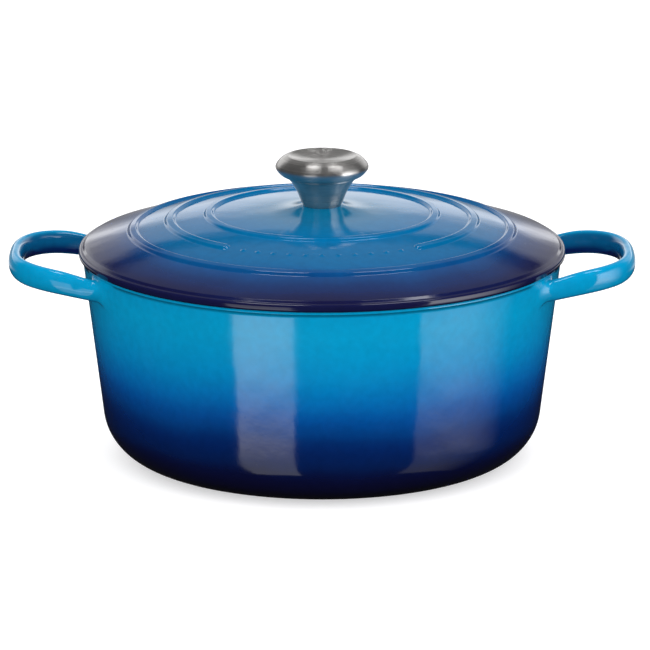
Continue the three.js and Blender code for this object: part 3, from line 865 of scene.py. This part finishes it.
def knob_screw(material):
    """A pan head with a cross recess, and a shank with a rolled thread."""
    low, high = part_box("knob_screw")
    head_top = low.z + 3.4 * MM
    shank, crest, pitch = 2.6 * MM, 3 * MM, 1 * MM
    head = rounded([
        (0, low.z),
        (high.x - 0.3 * MM, low.z, 2.3 * MM),
        (high.x, head_top - 0.3 * MM, 0.4 * MM),
        (high.x - 0.2 * MM, head_top, 0.15 * MM),
        (shank, head_top),
        (shank, head_top + 1.5 * MM),
    ])
    thread = []
    z = head_top + 2 * MM
    while z < high.z - 1.5 * MM:
        thread += [(shank, z), (crest, z + 0.4 * pitch), (crest, z + 0.55 * pitch)]
        z += pitch
    tip = [(shank, high.z - 1 * MM), (shank - 0.8 * MM, high.z), (0, high.z)]
    screw = revolve("knob_screw_m6", head + thread + tip, material, 64)
    cut_cross(screw, low.z)
    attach(screw, "lid")
    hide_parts("knob_screw")
    return screw


def cut_cross(screw, face_z):
    """Cuts a tapered cross into the screw's head. Its sizes are in millimetres."""
    mouth, end, depth, overshoot = (5.8, 1.2), (3.4, 0.8), 1.8, 0.5
    build = bmesh.new()
    for turn in (0, math.pi / 2):
        made = bmesh.ops.create_cube(build, size=1)["verts"]
        for vertex in made:
            deep = vertex.co.z > 0
            length, width = end if deep else mouth
            x, y = vertex.co.x * length * MM, vertex.co.y * width * MM
            vertex.co = Vector((
                x * math.cos(turn) - y * math.sin(turn),
                x * math.sin(turn) + y * math.cos(turn),
                face_z + (depth if deep else -overshoot) * MM,
            ))
    mesh = bpy.data.meshes.new("cross_cutter")
    build.to_mesh(mesh)
    build.free()
    cutter = bpy.data.objects.new("cross_cutter", mesh)
    bpy.context.scene.collection.objects.link(cutter)
    cut = screw.modifiers.new("cross", "BOOLEAN")
    cut.object, cut.operation, cut.solver, cut.use_self = cutter, "DIFFERENCE", "EXACT", True
    made = bpy.data.meshes.new_from_object(screw.evaluated_get(bpy.context.evaluated_depsgraph_get()))
    screw.modifiers.clear()
    screw.data = made
    made.shade_smooth()
    made.set_sharp_from_angle(angle=math.radians(35))
    bpy.data.objects.remove(cutter)


# ---- Studio -------------------------------------------------------------------------------------

CAMERA_ELEVATION = math.radians(14.29)
CAMERA_DISTANCE = 3.458
CAMERA_LENS = 316.25
CAMERA_AIM = Vector((1.8 * MM, -2.6 * MM, 79.9 * MM))
CAMERA_BASE = Vector((0, 0, 90 * MM))
WORLD_LEVEL = 0.84
WORLD_LEAN = (0.1, 0.0, 0.3)  # brighter above and to the right
FLOOR_GLOW = 0.2
WING_LEFT, WING_RIGHT = 1.15, 0.75
ROOM_DIMMEST = 0.012
OBJECT_MIDDLE_Z = 80 * MM


def camera():
    """A long lens a little above the object, as in a catalogue picture."""
    data = bpy.data.cameras.new("camera")
    data.lens, data.sensor_width = CAMERA_LENS, 36
    data.clip_start, data.clip_end = 0.1, 200
    made = bpy.data.objects.new("camera", data)
    back = Vector((0, -math.cos(CAMERA_ELEVATION), math.sin(CAMERA_ELEVATION)))
    made.location = CAMERA_BASE + back * CAMERA_DISTANCE
    made.rotation_euler = (CAMERA_AIM - made.location).to_track_quat("-Z", "Y").to_euler()
    bpy.context.scene.collection.objects.link(made)
    bpy.context.scene.camera = made


def glow_card(name, azimuths, elevations, glow, distance=6.0, cells=40):
    """A softbox: a patch of a big sphere round the object that only shows in reflections.
    Azimuth 0 is towards the camera and 90 towards +X. glow(azimuth, elevation) is its radiance."""
    across, upward = np.linspace(*azimuths, cells + 1), np.linspace(*elevations, cells + 1)
    azimuth, elevation = np.meshgrid(across, upward)
    az, el = np.radians(azimuth), np.radians(elevation)
    vertices = np.stack([np.sin(az) * np.cos(el), -np.cos(az) * np.cos(el), np.sin(el)], -1) * distance
    vertices = vertices.reshape(-1, 3) + (0, 0, OBJECT_MIDDLE_Z)
    return card(name, vertices, grid_faces(cells + 1, cells + 1), glow(azimuth, elevation).ravel())


def card(name, vertices, faces, radiance):
    """A glowing mesh that shows only in reflections, with a radiance for each vertex."""
    mesh = bpy.data.meshes.new(name)
    mesh.from_pydata(vertices.tolist(), [], faces.reshape(-1, 4).tolist())
    mesh.attributes.new("glow", "FLOAT", "POINT").data.foreach_set("value", radiance.astype(np.float32))
    material = bpy.data.materials.new(name)
    material.use_nodes = True
    tree = material.node_tree
    tree.nodes.clear()
    shown = tree.nodes.new("ShaderNodeOutputMaterial")
    light = tree.nodes.new("ShaderNodeEmission")
    read = tree.nodes.new("ShaderNodeAttribute")
    read.attribute_name = "glow"
    tree.links.new(read.outputs["Fac"], light.inputs["Strength"])
    tree.links.new(light.outputs[0], shown.inputs["Surface"])
    material.cycles.emission_sampling = "NONE"
    mesh.materials.append(material)
    made = bpy.data.objects.new(name, mesh)
    bpy.context.scene.collection.objects.link(made)
    only_glossy(made)
    return made


def only_glossy(piece):
    piece.visible_camera = piece.visible_diffuse = piece.visible_transmission = False
    piece.visible_volume_scatter = piece.visible_shadow = False
    piece.visible_glossy = True


def band(low, low_full, high_full, high, value):
    return eased(low, low_full, value) * (1 - eased(high_full, high, value))


def room(azimuth, elevation):
    """What stands behind and above the object: a backdrop, and a tall reflector on each side of it.
    The backdrop's bands are its foot, its horizon in the middle and beside it, its top and the ceiling."""
    from_back = 180 - np.abs(azimuth)
    beside = eased(5, 11, from_back)
    backdrop = 0.9 * band(-15, -12.5, -11, -8, elevation) + 0.3 * band(-10, -8, 0, 4, elevation)
    backdrop += 1.4 * (1 - beside) * band(-1, 6, 8, 16, elevation)
    backdrop += 1.8 * beside * band(2.5, 7, 8, 13, elevation)
    backdrop += 0.5 * band(9, 13, 21, 25, elevation)
    backdrop += 0.2 * band(26, 31, 60, 80, elevation)
    backdrop *= 1 - eased(16, 60, from_back)
    inner_edge = 15.5 + 0.45 * (elevation - 22)
    wing = np.where(azimuth < 0, WING_LEFT, WING_RIGHT)
    wing = wing * eased(inner_edge - 1.5, inner_edge + 1.5, from_back) * (1 - eased(34, 52, from_back))
    wing = wing * band(3, 13, 20, 42, elevation)
    return ROOM_DIMMEST + np.maximum(backdrop, wing)


def left_box(azimuth, elevation):
    """The softbox to the left of the camera, dimmer at its foot and towards its top."""
    level = 1.15 + 1.45 * eased(-29.6, -27.9, elevation) - 1.2 * eased(-25, -15, elevation)
    return level * (1 - eased(-3, 4, elevation))


def right_box(azimuth, elevation):
    """The softbox on the right, dim at its foot, bright above, and fading towards the back and the top."""
    level = 0.45 + 1.35 * eased(-27.2, -26, elevation) + 2.2 * eased(-22, -14, elevation)
    return level * (1 - eased(60, 112, azimuth)) * (1 - eased(20, 34, elevation))


def strip(x, y, height, radiance):
    """A long softbox overhead, seen only in reflections. x and y are its ends."""
    side = 9
    grid_x, grid_y = np.meshgrid(np.linspace(*x, side), np.linspace(*y, side))
    vertices = np.stack([grid_x, grid_y, np.full(grid_x.shape, height)], -1).reshape(-1, 3)
    return card("softbox_above", vertices, grid_faces(side, side), np.full(side * side, radiance))


def studio():
    """Reflections come from the cards, and diffuse light from two key lights and the world."""
    glow_card("studio_room", (-180, 180), (-89.9, 89.9), room, 12, 240)
    glow_card("softbox_left", (-45, -14), (-50, 5), left_box)
    glow_card("softbox_right", (51, 112), (-50, 35), right_box, 7)
    strip((-1.1, -0.2), (-0.35, 0.35), 3.1, 7)
    strip((0.5, 1.7), (-0.35, 0.35), 3.1, 6)
    key_light("key_left", (-1.6, -2.4, 2.4), 1.6, 36)
    key_light("key_right", (2.2, -2.0, 2.2), 1.6, 46)
    bpy.context.scene.world = studio_world()
    bpy.context.scene.world.cycles_visibility.glossy = False
    bpy.context.scene.view_settings.view_transform = "Standard"


def studio_world():
    """Even white light from all round, a little brighter on one side."""
    world = bpy.data.worlds.new("studio")
    world.use_nodes = True
    nodes, links = world.node_tree.nodes, world.node_tree.links
    direction = nodes.new("ShaderNodeTexCoord").outputs["Generated"]
    lean = nodes.new("ShaderNodeVectorMath")
    lean.operation = "DOT_PRODUCT"
    lean.inputs[1].default_value = WORLD_LEAN
    links.new(direction, lean.inputs[0])
    level = nodes.new("ShaderNodeMath")
    level.operation = "ADD"
    level.inputs[1].default_value = WORLD_LEVEL
    links.new(lean.outputs["Value"], level.inputs[0])
    nodes["Background"].inputs["Color"].default_value = (1, 1, 1, 1)
    links.new(level.outputs[0], nodes["Background"].inputs["Strength"])
    return world


def key_light(name, place, size, power):
    """A soft lamp that only lights, without a reflection or a shadow of its own."""
    data = bpy.data.lights.new(name, "AREA")
    data.shape, data.size, data.energy = "DISK", size, power
    data.use_shadow = False
    lamp = bpy.data.objects.new(name, data)
    lamp.location = place
    aim = Vector((0, 0, OBJECT_MIDDLE_Z)) - lamp.location
    lamp.rotation_euler = aim.to_track_quat("-Z", "Y").to_euler()
    lamp.visible_glossy = lamp.visible_camera = False
    bpy.context.scene.collection.objects.link(lamp)


def studio_floor():
    """A pale floor that dips a hair below the foot ring and stays out of the object's reflections."""
    rings = np.array([0.0, 0.3, 1.0, 3.0, 10.0, 40.0])
    angles = np.linspace(0, 2 * math.pi, 65)
    section = np.stack([rings, np.full(len(rings), POT_LOW.z - 0.05 * MM)], -1)
    vertices = spun(section, angles).reshape(-1, 3)
    faces = grid_faces(len(rings), len(angles)).reshape(-1, 4)[:, ::-1]
    white = (1, 1, 1, 1)
    paint = Paint("floor_paint", Roughness=0.9, Specular_IOR_Level=0.0, Emission_Color=white,
                  Emission_Strength=FLOOR_GLOW)
    paint.set(Base_Color=paint.ramp(paint.noise(3, 2), [(0.3, (248, 248, 249)), (0.7, (251, 251, 252))]))
    floor = make_piece("studio_floor", vertices, faces, np.zeros(len(faces)), [paint.material])
    floor.visible_glossy = floor.visible_diffuse = False


# ---- Scene --------------------------------------------------------------------------------------

sand, black = sand_enamel(), rim_enamel()
pot([pot_enamel(), black, sand])
lid([lid_enamel(), black, sand])
satin = turned_steel("satin_steel", (206, 204, 202), (170, 168, 166), 0.3)
plain = turned_steel("plain_steel", (178, 178, 180), (150, 150, 152), 0.32)
knob_stem(satin)
knob_head(satin)
bush(plain)
flat_washer(plain)
spring_washer(plain)
knob_screw(plain)
studio_floor()
studio()
camera()
